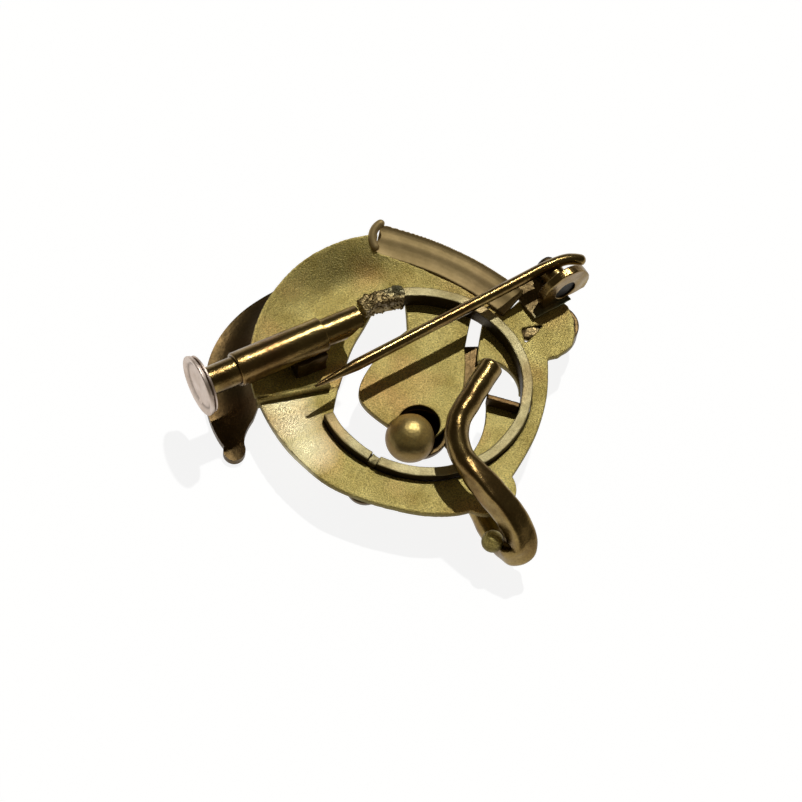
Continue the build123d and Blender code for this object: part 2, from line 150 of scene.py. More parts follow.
@dataclass(frozen=True)
class GoldFinish:
    """A gold surface: its colours, its gloss and the texture that working it left.

    Args:
        name: What the surface is called.
        light: Colour of its clean, raised parts.
        deep: Colour of its duller parts.
        tarnish_and_shade: Colour of dirt and toning in hollows, and of the painted shade on
            upright walls.
        tarnish_amount: How much of it there is, from 0 to 1.
        roughness: Middle roughness.
        spread: How far the roughness wanders to each side.
        grain_mm: Size of the fine grains.
        grain_depth_mm: Height of the grains.
        speckle: How strongly single grains differ in brightness.
        dent_mm: Size of the soft dents.
        dent_depth_mm: Depth of the soft dents.
        slot: Material slot of the record that the finish belongs to; not used.
        flush: Colour of the faint patches that heat and handling left.
        flush_amount: How strong they are, from 0 to 1.
        painted_wall_shade: How much painted shade darkens upright walls and undersides, from 0
            to 1.
    """

    name: str
    light: str
    deep: str
    tarnish_and_shade: str
    tarnish_amount: float
    roughness: float
    spread: float
    grain_mm: float
    grain_depth_mm: float
    speckle: float
    dent_mm: float
    dent_depth_mm: float
    slot: Slot
    flush: str = "#c08a58"
    flush_amount: float = 0.0
    painted_wall_shade: float = 0.0

    def build(self) -> bpy.types.Material:
        """Make the node material of this finish.

        Returns:
            The material.
        """
        material = bpy.data.materials.new(self.name)
        material.use_nodes = True
        tree = material.node_tree
        tree.nodes.clear()
        place = add_node(tree, "ShaderNodeTexCoord").outputs["Object"]
        grain = add_node(tree, "ShaderNodeTexNoise", {
            "Vector": place, "Scale": 1 / (self.grain_mm * MM), "Detail": 3.0, "Roughness": 0.6})
        patches = add_node(tree, "ShaderNodeTexNoise", {
            "Vector": place, "Scale": 1 / (PATCH_MM * MM), "Detail": 4.0, "Roughness": 0.6})
        dents = add_node(tree, "ShaderNodeTexNoise", {
            "Vector": place, "Scale": 1 / (self.dent_mm * MM), "Detail": 2.0})
        tone = add_node(tree, "ShaderNodeMapRange", {
            "Value": patches.outputs["Fac"], "From Min": 0.35, "From Max": 0.68})
        base = add_node(tree, "ShaderNodeMix", {"Factor": tone.outputs["Result"]},
                        data_type="RGBA")
        base.inputs[6].default_value = linear(self.light)
        base.inputs[7].default_value = linear(self.deep)
        clouds = add_node(tree, "ShaderNodeTexNoise", {
            "Vector": place, "Scale": 1 / (CLOUD_MM * MM), "Detail": 1.0, "W": 3.7},
            noise_dimensions="4D")
        warmth = add_node(tree, "ShaderNodeMapRange", {
            "Value": clouds.outputs["Fac"], "From Min": 0.5, "From Max": 0.72,
            "To Max": self.flush_amount})
        flushed = add_node(tree, "ShaderNodeMix", {"Factor": warmth.outputs["Result"]},
                           data_type="RGBA")
        tree.links.new(base.outputs[2], flushed.inputs[6])
        flushed.inputs[7].default_value = linear(self.flush)
        sparkle = add_node(tree, "ShaderNodeMapRange", {
            "Value": grain.outputs["Fac"], "From Min": 0.3, "From Max": 0.7,
            "To Min": 1 - self.speckle, "To Max": 1 + self.speckle})
        speckled = add_node(tree, "ShaderNodeVectorMath", {
            0: flushed.outputs[2], "Scale": sparkle.outputs["Result"]}, operation="SCALE")
        edge = add_node(tree, "ShaderNodeNewGeometry").outputs["Pointiness"]
        hollow = add_node(tree, "ShaderNodeMapRange", {
            "Value": edge, "From Min": 0.47, "From Max": 0.5, "To Min": 1.0, "To Max": 0.0})
        dirt = add_node(tree, "ShaderNodeMath", {
            0: hollow.outputs["Result"], 1: self.tarnish_amount}, operation="MULTIPLY")
        # Painted shade: where the normal leans away from straight up, the colour darkens towards
        # the tarnish colour.
        facing = add_node(tree, "ShaderNodeSeparateXYZ", {
            0: add_node(tree, "ShaderNodeTexCoord").outputs["Normal"]})
        wall = add_node(tree, "ShaderNodeMapRange", {
            "Value": facing.outputs["Z"], "From Min": 0.35, "From Max": 0.75,
            "To Min": self.painted_wall_shade, "To Max": 0.0})
        # The tarnish colour goes into hollows as dirt and onto walls as painted shade.
        stain_and_shade = add_node(tree, "ShaderNodeMath", {
            0: dirt.outputs[0], 1: wall.outputs["Result"]}, operation="MAXIMUM")
        tarnished_and_shaded = add_node(tree, "ShaderNodeMix", {"Factor": stain_and_shade.outputs[0]}, data_type="RGBA")
        tree.links.new(speckled.outputs[0], tarnished_and_shaded.inputs[6])
        tarnished_and_shaded.inputs[7].default_value = linear(self.tarnish_and_shade)
        gloss = add_node(tree, "ShaderNodeMapRange", {
            "Value": patches.outputs["Fac"], "From Min": 0.3, "From Max": 0.7,
            "To Min": self.roughness - self.spread, "To Max": self.roughness + self.spread})
        # The rubbed mask lowers the roughness, and also lays a painted highlight of pale colour
        # on the spot.
        rubbed_sheen = add_node(tree, "ShaderNodeAttribute", attribute_name=RUB_SHEEN)
        polish = add_node(tree, "ShaderNodeMath", {
            0: rubbed_sheen.outputs["Fac"], 1: -RUB_GAIN, 2: gloss.outputs["Result"]},
            operation="MULTIPLY_ADD")
        soft = add_node(tree, "ShaderNodeBump", {
            "Height": dents.outputs["Fac"], "Distance": self.dent_depth_mm * MM})
        fine = add_node(tree, "ShaderNodeBump", {
            "Height": grain.outputs["Fac"], "Distance": self.grain_depth_mm * MM,
            "Normal": soft.outputs["Normal"]})
        painted_sheen = add_node(tree, "ShaderNodeMath", {
            0: rubbed_sheen.outputs["Fac"], 1: 0.6}, operation="MULTIPLY")
        with_painted_sheen = add_node(tree, "ShaderNodeMix", {"Factor": painted_sheen.outputs[0]},
                           data_type="RGBA")
        tree.links.new(tarnished_and_shaded.outputs[2], with_painted_sheen.inputs[6])
        with_painted_sheen.inputs[7].default_value = linear(PAINTED_SHEEN_COLOUR)
        shader = add_node(tree, "ShaderNodeBsdfPrincipled", {
            "Metallic": 1.0, "Base Color": with_painted_sheen.outputs[2],
            "Roughness": polish.outputs[0], "Normal": fine.outputs["Normal"]})
        add_node(tree, "ShaderNodeOutputMaterial", {"Surface": shader.outputs[0]})
        return material


# Bloomed gold: alloy boiled in acid salts, which leaves a matte skin of pure gold grains; its
# walls and undersides take painted shade.
BLOOMED = GoldFinish(
    "bloomed_gold", light="#cbbb74", deep="#b5a25c", tarnish_and_shade="#4a3f1c", tarnish_amount=0.6,
    roughness=0.54, spread=0.05, grain_mm=0.1, grain_depth_mm=0.05, speckle=0.42,
    dent_mm=1.8, dent_depth_mm=0.07, slot=Slot.BLOOMED, flush="#cf9a62", flush_amount=0.5,
    painted_wall_shade=0.75)
# Smooth gold: the same sheet, rubbed satin by handling.
SMOOTH = GoldFinish(
    "smooth_gold", light="#bfa878", deep="#a99465", tarnish_and_shade="#4a3a20", tarnish_amount=0.35,
    roughness=0.66, spread=0.04, grain_mm=0.16, grain_depth_mm=0.004, speckle=0.04,
    dent_mm=1.9, dent_depth_mm=0.03, slot=Slot.SMOOTH, flush="#a58a66", flush_amount=0.25,
    painted_wall_shade=0.0)
# Shaded gold: the same sheet painted dark brown, as painted shade for pieces that lie low or in
# shade.
SHADED_GOLD = GoldFinish(
    "shaded_gold", light="#5f4d31", deep="#463922", tarnish_and_shade="#261c10", tarnish_amount=0.7,
    roughness=0.42, spread=0.07, grain_mm=0.2, grain_depth_mm=0.02, speckle=0.1,
    dent_mm=1.3, dent_depth_mm=0.06, slot=Slot.SMOOTH, flush="#5f4227", flush_amount=0.4)
# Pale gold: strip flushed with a silver-rich solder, so greener and greyer; its inner walls and
# undersides take painted shade.
PALE = GoldFinish(
    "pale_gold", light="#b8ad82", deep="#9d9064", tarnish_and_shade="#30240f", tarnish_amount=0.7,
    roughness=0.5, spread=0.06, grain_mm=0.1, grain_depth_mm=0.03, speckle=0.22,
    dent_mm=0.9, dent_depth_mm=0.06, slot=Slot.PALE, flush="#b3905f", flush_amount=0.6,
    painted_wall_shade=0.92)
# Solder: what ran over the joints, lumpy and glittering between dark pits.
SOLDER = GoldFinish(
    "solder_flush", light="#96845a", deep="#665437", tarnish_and_shade="#2a1d10", tarnish_amount=0.9,
    roughness=0.44, spread=0.1, grain_mm=0.25, grain_depth_mm=0.02, speckle=0.1,
    dent_mm=0.5, dent_depth_mm=0.08, slot=Slot.PALE, flush="#7a9a86", flush_amount=0.6)
# Polished gold: drawn wire and tube of a redder alloy, bright with fine rubbing marks.
POLISHED = GoldFinish(
    "polished_gold", light="#96804f", deep="#68522f", tarnish_and_shade="#2c1f14", tarnish_amount=0.6,
    roughness=0.24, spread=0.05, grain_mm=0.14, grain_depth_mm=0.014, speckle=0.18,
    dent_mm=1.1, dent_depth_mm=0.04, slot=Slot.POLISHED, flush="#74492e", flush_amount=0.4)
# Rose gold: the copper-rich knob, pinkish; its pale white is a painted reflection of the sky,
# laid over the whole knob.
ROSE = GoldFinish(
    "rose_gold", light="#e2d2c6", deep="#c8b4a2", tarnish_and_shade="#4f3b28", tarnish_amount=0.6,
    roughness=0.5, spread=0.05, grain_mm=0.3, grain_depth_mm=0.01, speckle=0.06,
    dent_mm=1.2, dent_depth_mm=0.008, slot=Slot.ROSE)
# Burnished gold: the bud's dome, left bright and warm by polishing; its sides and underside take
# painted shade.
BURNISHED = GoldFinish(
    "burnished_gold", light="#dcc682", deep="#c4a864", tarnish_and_shade="#5a3d18", tarnish_amount=0.4,
    roughness=0.46, spread=0.05, grain_mm=0.14, grain_depth_mm=0.012, speckle=0.16,
    dent_mm=1.0, dent_depth_mm=0.07, slot=Slot.BLOOMED, flush="#c98a4e", flush_amount=0.7,
    painted_wall_shade=0.75)
# Dark steel: the hinge rivet, oxidised almost black.
STEEL = GoldFinish(
    "dark_steel", light="#45433f", deep="#2c2a27", tarnish_and_shade="#14110e", tarnish_amount=0.6,
    roughness=0.55, spread=0.08, grain_mm=0.12, grain_depth_mm=0.01, speckle=0.1,
    dent_mm=0.6, dent_depth_mm=0.03, slot=Slot.STEEL)


def seen_rays(tree: bpy.types.NodeTree) -> bpy.types.NodeSocket:
    """One for rays that show the backdrop: camera, glossy and transmission rays.

    Args:
        tree: Node tree of the floor or the world.

    Returns:
        Socket that is one for such a ray and zero for one that only lights.
    """
    rays = add_node(tree, "ShaderNodeLightPath")
    first = add_node(tree, "ShaderNodeMath", {
        0: rays.outputs["Is Camera Ray"], 1: rays.outputs["Is Glossy Ray"]}, operation="MAXIMUM")
    return add_node(tree, "ShaderNodeMath", {
        0: first.outputs[0], 1: rays.outputs["Is Transmission Ray"]},
        operation="MAXIMUM").outputs[0]


@dataclass(frozen=True)
class Paper:
    """Pale matt floor of the studio."""

    name: str = "studio_floor"
    shade: str = "#f4f4f2"
    glow: float = 0.72
    strength: float = 1.22

    def build(self) -> bpy.types.Material:
        """Make the floor's material: white to the eye, with the object's shadow kept.

        Returns:
            The material.
        """
        material = bpy.data.materials.new(self.name)
        material.use_nodes = True
        tree = material.node_tree
        tree.nodes.clear()
        paper = add_node(tree, "ShaderNodeBsdfDiffuse", {"Color": linear(self.shade)})
        white = add_node(tree, "ShaderNodeEmission", {"Strength": self.strength})
        share = add_node(tree, "ShaderNodeMath", {0: seen_rays(tree), 1: self.glow},
                         operation="MULTIPLY")
        both = add_node(tree, "ShaderNodeMixShader", {
            0: share.outputs[0], 1: paper.outputs[0], 2: white.outputs[0]})
        add_node(tree, "ShaderNodeOutputMaterial", {"Surface": both.outputs[0]})
        return material


class Palette:
    """The materials of the brooch, each made once."""

    def __init__(self) -> None:
        """Start with no material."""
        self.made: dict[str, bpy.types.Material] = {}

    def material(self, finish: GoldFinish) -> bpy.types.Material:
        """The material of a finish, made when it is first asked for."""
        if finish.name not in self.made:
            self.made[finish.name] = finish.build()
        return self.made[finish.name]

    def dress(self, piece: bpy.types.Object, finish: GoldFinish) -> None:
        """Give a piece one of the finishes.

        Args:
            piece: Object to dress.
            finish: Finish that it takes.
        """
        piece.data.materials.clear()
        piece.data.materials.append(self.material(finish))


# ---------------------------------------------------------------- mesh helpers


def plain_object(name: str, mesh: bpy.types.Mesh) -> bpy.types.Object:
    """Put a mesh in the scene as an object at the origin."""
    piece = bpy.data.objects.new(name, mesh)
    bpy.context.scene.collection.objects.link(piece)
    return piece


def settle(piece: bpy.types.Object) -> bpy.types.Object:
    """Turn a piece and its modifiers into a plain mesh.

    Args:
        piece: Object whose modifiers are finished.

    Returns:
        The same object with the evaluated mesh and no modifiers.
    """
    graph = bpy.context.evaluated_depsgraph_get()
    mesh = bpy.data.meshes.new_from_object(piece.evaluated_get(graph), depsgraph=graph)
    piece.modifiers.clear()
    old = piece.data
    piece.data = mesh
    bpy.data.meshes.remove(old)
    mesh.name = piece.name
    return piece


def shade_smooth(piece: bpy.types.Object, angle: float = 40.0) -> None:
    """Shade a piece smooth, with edges over an angle kept sharp."""
    piece.data.shade_smooth()
    piece.data.set_sharp_from_angle(angle=math.radians(angle))


def divided(outline: list[tuple[float, float]], step_mm: float) -> list[tuple[float, float]]:
    """Split the long runs of an outline, so that its faces stay near square.

    Args:
        outline: Points (along, radius) in millimetres.
        step_mm: Longest run that is kept.

    Returns:
        The outline with points added.
    """
    points = [outline[0]]
    for first, second in zip(outline, outline[1:]):
        count = max(1, math.ceil(math.dist(first, second) / step_mm))
        for step in range(1, count + 1):
            share = step / count
            points.append(tuple(a + (b - a) * share for a, b in zip(first, second)))
    return points


def lathe(
    name: str,
    outline: list[tuple[float, float]],
    origin: Vector,
    axis: Vector,
    segments: int = 128,
) -> bpy.types.Object:
    """Turn a closed outline about an axis.

    Args:
        name: Name of the piece.
        outline: Closed loop of (distance along the axis, radius) in millimetres; a loop
            that starts and ends at radius zero closes on the axis.
        origin: Where distance zero lies.
        axis: Direction of the axis.
        segments: Steps round the axis.

    Returns:
        The turned piece.
    """
    axis = axis.normalized()
    across = axis.orthogonal().normalized()
    third = axis.cross(across)
    work = bmesh.new()
    rings = []
    for along, radius in divided(outline, LATHE_STEP_MM):
        centre = origin + axis * along * MM
        if radius == 0:
            rings.append([work.verts.new(centre)])
            continue
        ring = []
        for step in range(segments):
            turn = 2 * math.pi * step / segments
            spoke = across * math.cos(turn) + third * math.sin(turn)
            ring.append(work.verts.new(centre + spoke * radius * MM))
        rings.append(ring)
    closed = outline[0][1] > 0
    pairs = list(zip(rings, rings[1:] + rings[:1])) if closed else list(zip(rings, rings[1:]))
    for first, second in pairs:
        for step in range(segments):
            after = (step + 1) % segments
            corners = []
            corners.extend([first[step % len(first)], first[after % len(first)]])
            corners.extend([second[after % len(second)], second[step % len(second)]])
            unique = list(dict.fromkeys(corners))
            if len(unique) > 2:
                work.faces.new(unique)
    bmesh.ops.recalc_face_normals(work, faces=work.faces)
    mesh = bpy.data.meshes.new(name)
    work.to_mesh(mesh)
    work.free()
    piece = plain_object(name, mesh)
    shade_smooth(piece)
    return piece


def corner(along: float, radius: float, size: float, start: float, steps: int = 6) -> list:
    """Rounded corner of a turned outline.

    Args:
        along: Centre of the rounding along the axis, in millimetres.
        radius: Centre of the rounding from the axis.
        size: Radius of the rounding.
        start: First angle in degrees; the corner covers 90 degrees.
        steps: Number of pieces.

    Returns:
        Points (along, radius).
    """
    points = []
    for step in range(steps + 1):
        turn = math.radians(start + 90 * step / steps)
        points.append((along + size * math.cos(turn), radius + size * math.sin(turn)))
    return points


def smooth_path(knots: list[Vector], count: int) -> list[Vector]:
    """Even points on a smooth curve through knots.

    Args:
        knots: Points that the curve passes.
        count: Number of points per span.

    Returns:
        Points on the curve.
    """
    ends = [knots[0] * 2 - knots[1], *knots, knots[-1] * 2 - knots[-2]]
    points = []
    for before, start, stop, after in zip(ends, ends[1:], ends[2:], ends[3:]):
        for step in range(count):
            t = step / count
            points.append(0.5 * (
                start * 2 + (stop - before) * t
                + (before * 2 - start * 5 + stop * 4 - after) * t ** 2
                + (start * 3 - before - stop * 3 + after) * t ** 3))
    points.append(knots[-1])
    return points


def smooth_step(low: float, high: float, value: float) -> float:
    """Ease from zero at one value to one at another."""
    share = min(1.0, max(0.0, (value - low) / (high - low)))
    return share * share * (3 - 2 * share)


def cut_away(piece: bpy.types.Object, spot: Vector, away: Vector, size_mm: float = 12.0) -> None:
    """Cut off what lies beyond a plane.

    Args:
        piece: Closed mesh to cut.
        spot: Point on the plane.
        away: Direction of the side that goes.
        size_mm: Size of the block that cuts.
    """
    work = bmesh.new()
    bmesh.ops.create_cube(work, size=size_mm * MM)
    turn = away.to_track_quat("Z", "Y").to_matrix().to_4x4()
    place = Matrix.Translation(spot + away * size_mm / 2 * MM) @ turn
    bmesh.ops.transform(work, matrix=place, verts=work.verts)
    mesh = bpy.data.meshes.new("cutter")
    work.to_mesh(mesh)
    work.free()
    cutter = plain_object("cutter", mesh)
    cut = piece.modifiers.new("cut", "BOOLEAN")
    cut.operation = "DIFFERENCE"
    cut.solver = "EXACT"
    cut.object = cutter
    settle(piece)
    bpy.data.objects.remove(cutter)


def new_tree(name: str, sockets: dict[str, tuple[str, Any]]) -> bpy.types.GeometryNodeTree:
    """Start a Geometry Nodes tree with named inputs.

    Args:
        name: Name of the tree.
        sockets: Socket type and default value of each input, by name.

    Returns:
        The tree, with its geometry sockets and inputs.
    """
    tree = bpy.data.node_groups.new(name, "GeometryNodeTree")
    tree.interface.new_socket("Geometry", in_out="INPUT", socket_type="NodeSocketGeometry")
    tree.interface.new_socket("Geometry", in_out="OUTPUT", socket_type="NodeSocketGeometry")
    for label, (kind, value) in sockets.items():
        socket = tree.interface.new_socket(label, in_out="INPUT", socket_type=kind)
        if value is not None:
            socket.default_value = value
    return tree


def run_tree(piece: bpy.types.Object, tree: bpy.types.GeometryNodeTree,
             values: dict[str, Any]) -> bpy.types.Object:
    """Run a tree on a piece and keep the plain mesh that it gives.

    Args:
        piece: Object that the tree works on.
        tree: The tree.
        values: Value of each named input.

    Returns:
        The piece with its new mesh, or the new mesh object when the piece was a curve.
    """
    modifier = piece.modifiers.new(tree.name, "NODES")
    modifier.node_group = tree
    for item in tree.interface.items_tree:
        if item.in_out == "INPUT" and item.name in values:
            modifier[item.identifier] = values[item.name]
    if piece.type == "MESH":
        return settle(piece)
    graph = bpy.context.evaluated_depsgraph_get()
    mesh = bpy.data.meshes.new_from_object(piece.evaluated_get(graph), depsgraph=graph)
    name = piece.name
    bpy.data.objects.remove(piece)
    mesh.name = name
    return plain_object(name, mesh)


def wire_tree() -> bpy.types.GeometryNodeTree:
    """A tree that draws a wire along a curve, to a point at its start, rounded at its end.

    Returns:
        Tree with inputs for the radius, the tip's radius and length, the end's rounding and
        the material.
    """
    length = ("NodeSocketFloat", 1.0)
    tree = new_tree("drawn_wire", {
        "Radius": length, "Tip Radius": length, "Tip Length": length, "End Rounding": length,
        "Material": ("NodeSocketMaterial", None)})
    given = add_node(tree, "NodeGroupInput").outputs
    even = add_node(tree, "GeometryNodeResampleCurve", {
        "Curve": given["Geometry"], "Length": 0.07 * MM}, mode="LENGTH")
    place = add_node(tree, "GeometryNodeSplineParameter").outputs["Length"]
    whole = add_node(tree, "GeometryNodeSplineLength").outputs["Length"]
    taper = add_node(tree, "ShaderNodeMapRange", {
        "Value": place, "From Min": 0.0, "From Max": given["Tip Length"],
        "To Min": given["Tip Radius"], "To Max": given["Radius"]})
    left = add_node(tree, "ShaderNodeMath", {0: whole, 1: place}, operation="SUBTRACT")
    share = add_node(tree, "ShaderNodeMath", {0: left.outputs[0], 1: given["End Rounding"]},
                     operation="DIVIDE", use_clamp=True)
    short = add_node(tree, "ShaderNodeMath", {0: 2.0, 1: share.outputs[0]},
                     operation="SUBTRACT")
    arc = add_node(tree, "ShaderNodeMath", {0: share.outputs[0], 1: short.outputs[0]},
                   operation="MULTIPLY")
    round_end = add_node(tree, "ShaderNodeMath", {0: arc.outputs[0]}, operation="SQRT")
    floor = add_node(tree, "ShaderNodeMath", {0: round_end.outputs[0], 1: 0.12},
                     operation="MAXIMUM")
    radius = add_node(tree, "ShaderNodeMath", {0: taper.outputs[0], 1: floor.outputs[0]},
                      operation="MULTIPLY")
    ring = add_node(tree, "GeometryNodeCurvePrimitiveCircle", {"Resolution": 40, "Radius": 1.0})
    tube = add_node(tree, "GeometryNodeCurveToMesh", {
        "Curve": even.outputs[0], "Profile Curve": ring.outputs["Curve"],
        "Scale": radius.outputs[0], "Fill Caps": True})
    smooth = add_node(tree, "GeometryNodeSetShadeSmooth", {"Geometry": tube.outputs[0]})
    whole_mesh = add_node(tree, "GeometryNodeRealizeInstances", {0: smooth.outputs[0]})
    dressed = add_node(tree, "GeometryNodeSetMaterial", {
        "Geometry": whole_mesh.outputs[0], "Material": given["Material"]})
    add_node(tree, "NodeGroupOutput", {"Geometry": dressed.outputs[0]})
    return tree


def wire(name: str, path: list[Vector], tree: bpy.types.GeometryNodeTree,
         sizes_mm: dict[str, float], material: bpy.types.Material) -> bpy.types.Object:
    """Draw a wire along a path.

    Args:
        name: Name of the piece.
        path: Points along the wire's middle.
        tree: Tree from wire_tree().
        sizes_mm: The tree's sizes in millimetres.
        material: Material of the wire.

    Returns:
        The wire as a mesh.
    """
    curve = bpy.data.curves.new(name, "CURVE")
    curve.dimensions = "3D"
    spline = curve.splines.new("POLY")
    spline.points.add(len(path) - 1)
    for point, spot in zip(spline.points, path):
        point.co = (*spot, 1.0)
    piece = plain_object(name, curve)
    values = {label: size * MM for label, size in sizes_mm.items()}
    return run_tree(piece, tree, {**values, "Material": material})


def grain_tree() -> bpy.types.GeometryNodeTree:
    """A tree that covers a surface with half-sunk grains of different sizes.

    Returns:
        Tree with inputs for the grain's radius, the density, the seed and the material.
    """
    tree = new_tree("solder_grains", {
        "Grain Radius": ("NodeSocketFloat", 0.1), "Density": ("NodeSocketFloat", 1.0),
        "Seed": ("NodeSocketInt", 0), "Material": ("NodeSocketMaterial", None)})
    given = add_node(tree, "NodeGroupInput").outputs
    spots = add_node(tree, "GeometryNodeDistributePointsOnFaces", {
        "Mesh": given["Geometry"], "Density": given["Density"], "Seed": given["Seed"]})
    grain = add_node(tree, "GeometryNodeMeshIcoSphere", {
        "Radius": given["Grain Radius"], "Subdivisions": 2})
    size = add_node(tree, "FunctionNodeRandomValue", {2: 0.45, 3: 1.25, "Seed": given["Seed"]},
                    data_type="FLOAT")
    grains = add_node(tree, "GeometryNodeInstanceOnPoints", {
        "Points": spots.outputs["Points"], "Instance": grain.outputs["Mesh"],
        "Rotation": spots.outputs["Rotation"], "Scale": size.outputs[1]})
    both = tree.nodes.new("GeometryNodeJoinGeometry")
    tree.links.new(grains.outputs[0], both.inputs[0])
    tree.links.new(given["Geometry"], both.inputs[0])
    whole = add_node(tree, "GeometryNodeRealizeInstances", {0: both.outputs[0]})
    smooth = add_node(tree, "GeometryNodeSetShadeSmooth", {"Geometry": whole.outputs[0]})
    dressed = add_node(tree, "GeometryNodeSetMaterial", {
        "Geometry": smooth.outputs[0], "Material": given["Material"]})
    add_node(tree, "NodeGroupOutput", {"Geometry": dressed.outputs[0]})
    return tree


def grainy(piece: bpy.types.Object, grain_mm: float, per_mm2: float, seed: int,
           material: bpy.types.Material) -> bpy.types.Object:
    """Cover a piece with grains.

    Args:
        piece: Mesh to cover.
        grain_mm: Middle radius of a grain.
        per_mm2: Number of grains on a square millimetre.
        seed: Seed of the scatter.
        material: Material of the whole.

    Returns:
        The piece with its grains.
    """
    return run_tree(piece, grain_tree(), {
        "Grain Radius": grain_mm * MM, "Density": per_mm2 / MM ** 2, "Seed": seed,
        "Material": material})


# ---------------------------------------------------------------- the bench


class Bench:
    """Holds the frame and the palette, and hands over each finished piece."""

    def __init__(self, frame: dict[str, Any], palette: Palette) -> None:
        """Keep the frame and the materials.

        Args:
            palette: Materials to dress the pieces in.
        """
        self.frame = frame
        self.palette = palette
        low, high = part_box("back_ring")
        outer = (high.y - low.y) / 2
        self.ring_centre = Vector((high.x - outer, (low.y + high.y) / 2, high.z))

    def joint(self, name: str) -> dict[str, Any]:
        """A joint of the record by name."""
        return next(joint for joint in self.frame["joints"] if joint["name"] == name)

    def mount(self, name: str) -> dict[str, Any]:
        """A mount of the record by name."""
        mounts = self.frame["record"]["mounts"]
        return next(mount for mount in mounts if mount["name"] == name)

    def reach(self, node: str, origin: Vector, axis: Vector) -> tuple[float, float, float]:
        """Extent of a CAD node along and across an axis.

        Args:
            node: CAD node.
            origin: Point on the axis.
            axis: Direction of the axis.

        Returns:
            Lowest and highest distance along the axis and the greatest radius, in metres.
        """
        spots = [vertex.co - origin for vertex in self.frame["nodes"][node].data.vertices]
        along = [spot.dot(axis) for spot in spots]
        radii = [(spot - axis * far).length for spot, far in zip(spots, along)]
        return min(along), max(along), max(radii)

    def spot(self, x: float, y: float, height: float) -> Vector:
        """A place measured in millimetres from the centre of the ring's upper face."""
        return self.ring_centre + Vector((x, y, height)) * MM

    def keep(self, node: str, finish: GoldFinish) -> None:
        """Show a CAD node as it is, in one of the finishes."""
        self.palette.dress(self.frame["nodes"][node], finish)
        LOG.info("%s: CAD node in %s", node, finish.name)

    def deliver(self, piece: bpy.types.Object, body: Body, finish: GoldFinish,
                *nodes: str) -> None:
        """Dress a piece, put it on its body and let it stand for CAD nodes.

        Args:
            piece: Finished mesh object.
            body: Body that it moves with.
            finish: Finish that it takes.
            nodes: CAD nodes that it stands for.
        """
        self.palette.dress(piece, finish)
        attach(piece, body.value)
        if nodes:
            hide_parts(*nodes)
        LOG.info("%s: %d faces on %s", piece.name, len(piece.data.polygons), body.value)

    def worked(self, node: str, voxel_mm: float, passes: int, seed: float = 0.0,
               wave_mm: float = 2.5, height_mm: float = 0.05) -> bpy.types.Object:
        """Copy a CAD node as hand-worked metal with rounded edges.

        Args:
            node: CAD node to start from.
            voxel_mm: Size of the new mesh's faces; zero keeps the copy's own faces.
            passes: Rounds of smoothing, which set how round the edges get.
            seed: Makes each piece uneven in its own way.
            wave_mm: Width of the unevenness.
            height_mm: Height of the unevenness.

        Returns:
            The new piece, named after the node.
        """
        mesh = self.frame["nodes"][node].data.copy()
        piece = plain_object("worked_" + node, mesh)
        work = bmesh.new()
        work.from_mesh(mesh)
        bmesh.ops.remove_doubles(work, verts=work.verts, dist=1e-7)
        bmesh.ops.scale(work, vec=(1 / MM,) * 3, verts=work.verts)
        work.to_mesh(mesh)
        work.free()
        if voxel_mm:
            remesh = piece.modifiers.new("even mesh", "REMESH")
            remesh.mode = "VOXEL"
            remesh.voxel_size = voxel_mm
            smooth = piece.modifiers.new("round edges", "SMOOTH")
            smooth.factor = 0.5
            smooth.iterations = passes
            settle(piece)
        for vertex in piece.data.vertices:
            spot = vertex.co / wave_mm + Vector((seed, seed * 0.7, seed * 1.3))
            vertex.co += noise.noise_vector(spot) * height_mm
        piece.data.transform(Matrix.Scale(MM, 4))
        piece.data.update()
        shade_smooth(piece, 180.0 if voxel_mm else 35.0)
        return piece


# ---------------------------------------------------------------- sub-assemblies


@dataclass(frozen=True)
class Fold:
    """A soft fold that stamping left in a sheet, along an arc.

    Args:
        about: Centre of the arc from the ring's centre, in millimetres.
        radius_mm: Radius of the arc.
        width_mm: Width of the sloping part.
        rise_mm: How much the sheet rises outwards across it.
        middle_deg: Angle of the fold's middle.
        spread_deg: Angle in which it fades to each side.
        share: Part of the rise by which the inner side goes down instead.
    """

    about: tuple[float, float]
    radius_mm: float
    width_mm: float
    rise_mm: float
    middle_deg: float
    spread_deg: float
    share: float = 0.45

    def bend(self, bench: Bench, piece: bpy.types.Object) -> None:
        """Bend a sheet along the fold.

        Args:
            bench: Gives the ring's centre.
            piece: The sheet.
        """
        centre = bench.spot(*self.about, 0.0)
        low = self.radius_mm - self.width_mm / 2
        high = self.radius_mm + self.width_mm / 2
        for vertex in piece.data.vertices:
            off = (vertex.co - centre) / MM
            turn = math.degrees(math.atan2(off.y, off.x)) - self.middle_deg
            turn = (turn + 180) % 360 - 180
            hold = math.exp(-((turn / self.spread_deg) ** 2))
            part = smooth_step(low, high, math.hypot(off.x, off.y)) - self.share
            vertex.co.z += self.rise_mm * MM * hold * part
        piece.data.update()


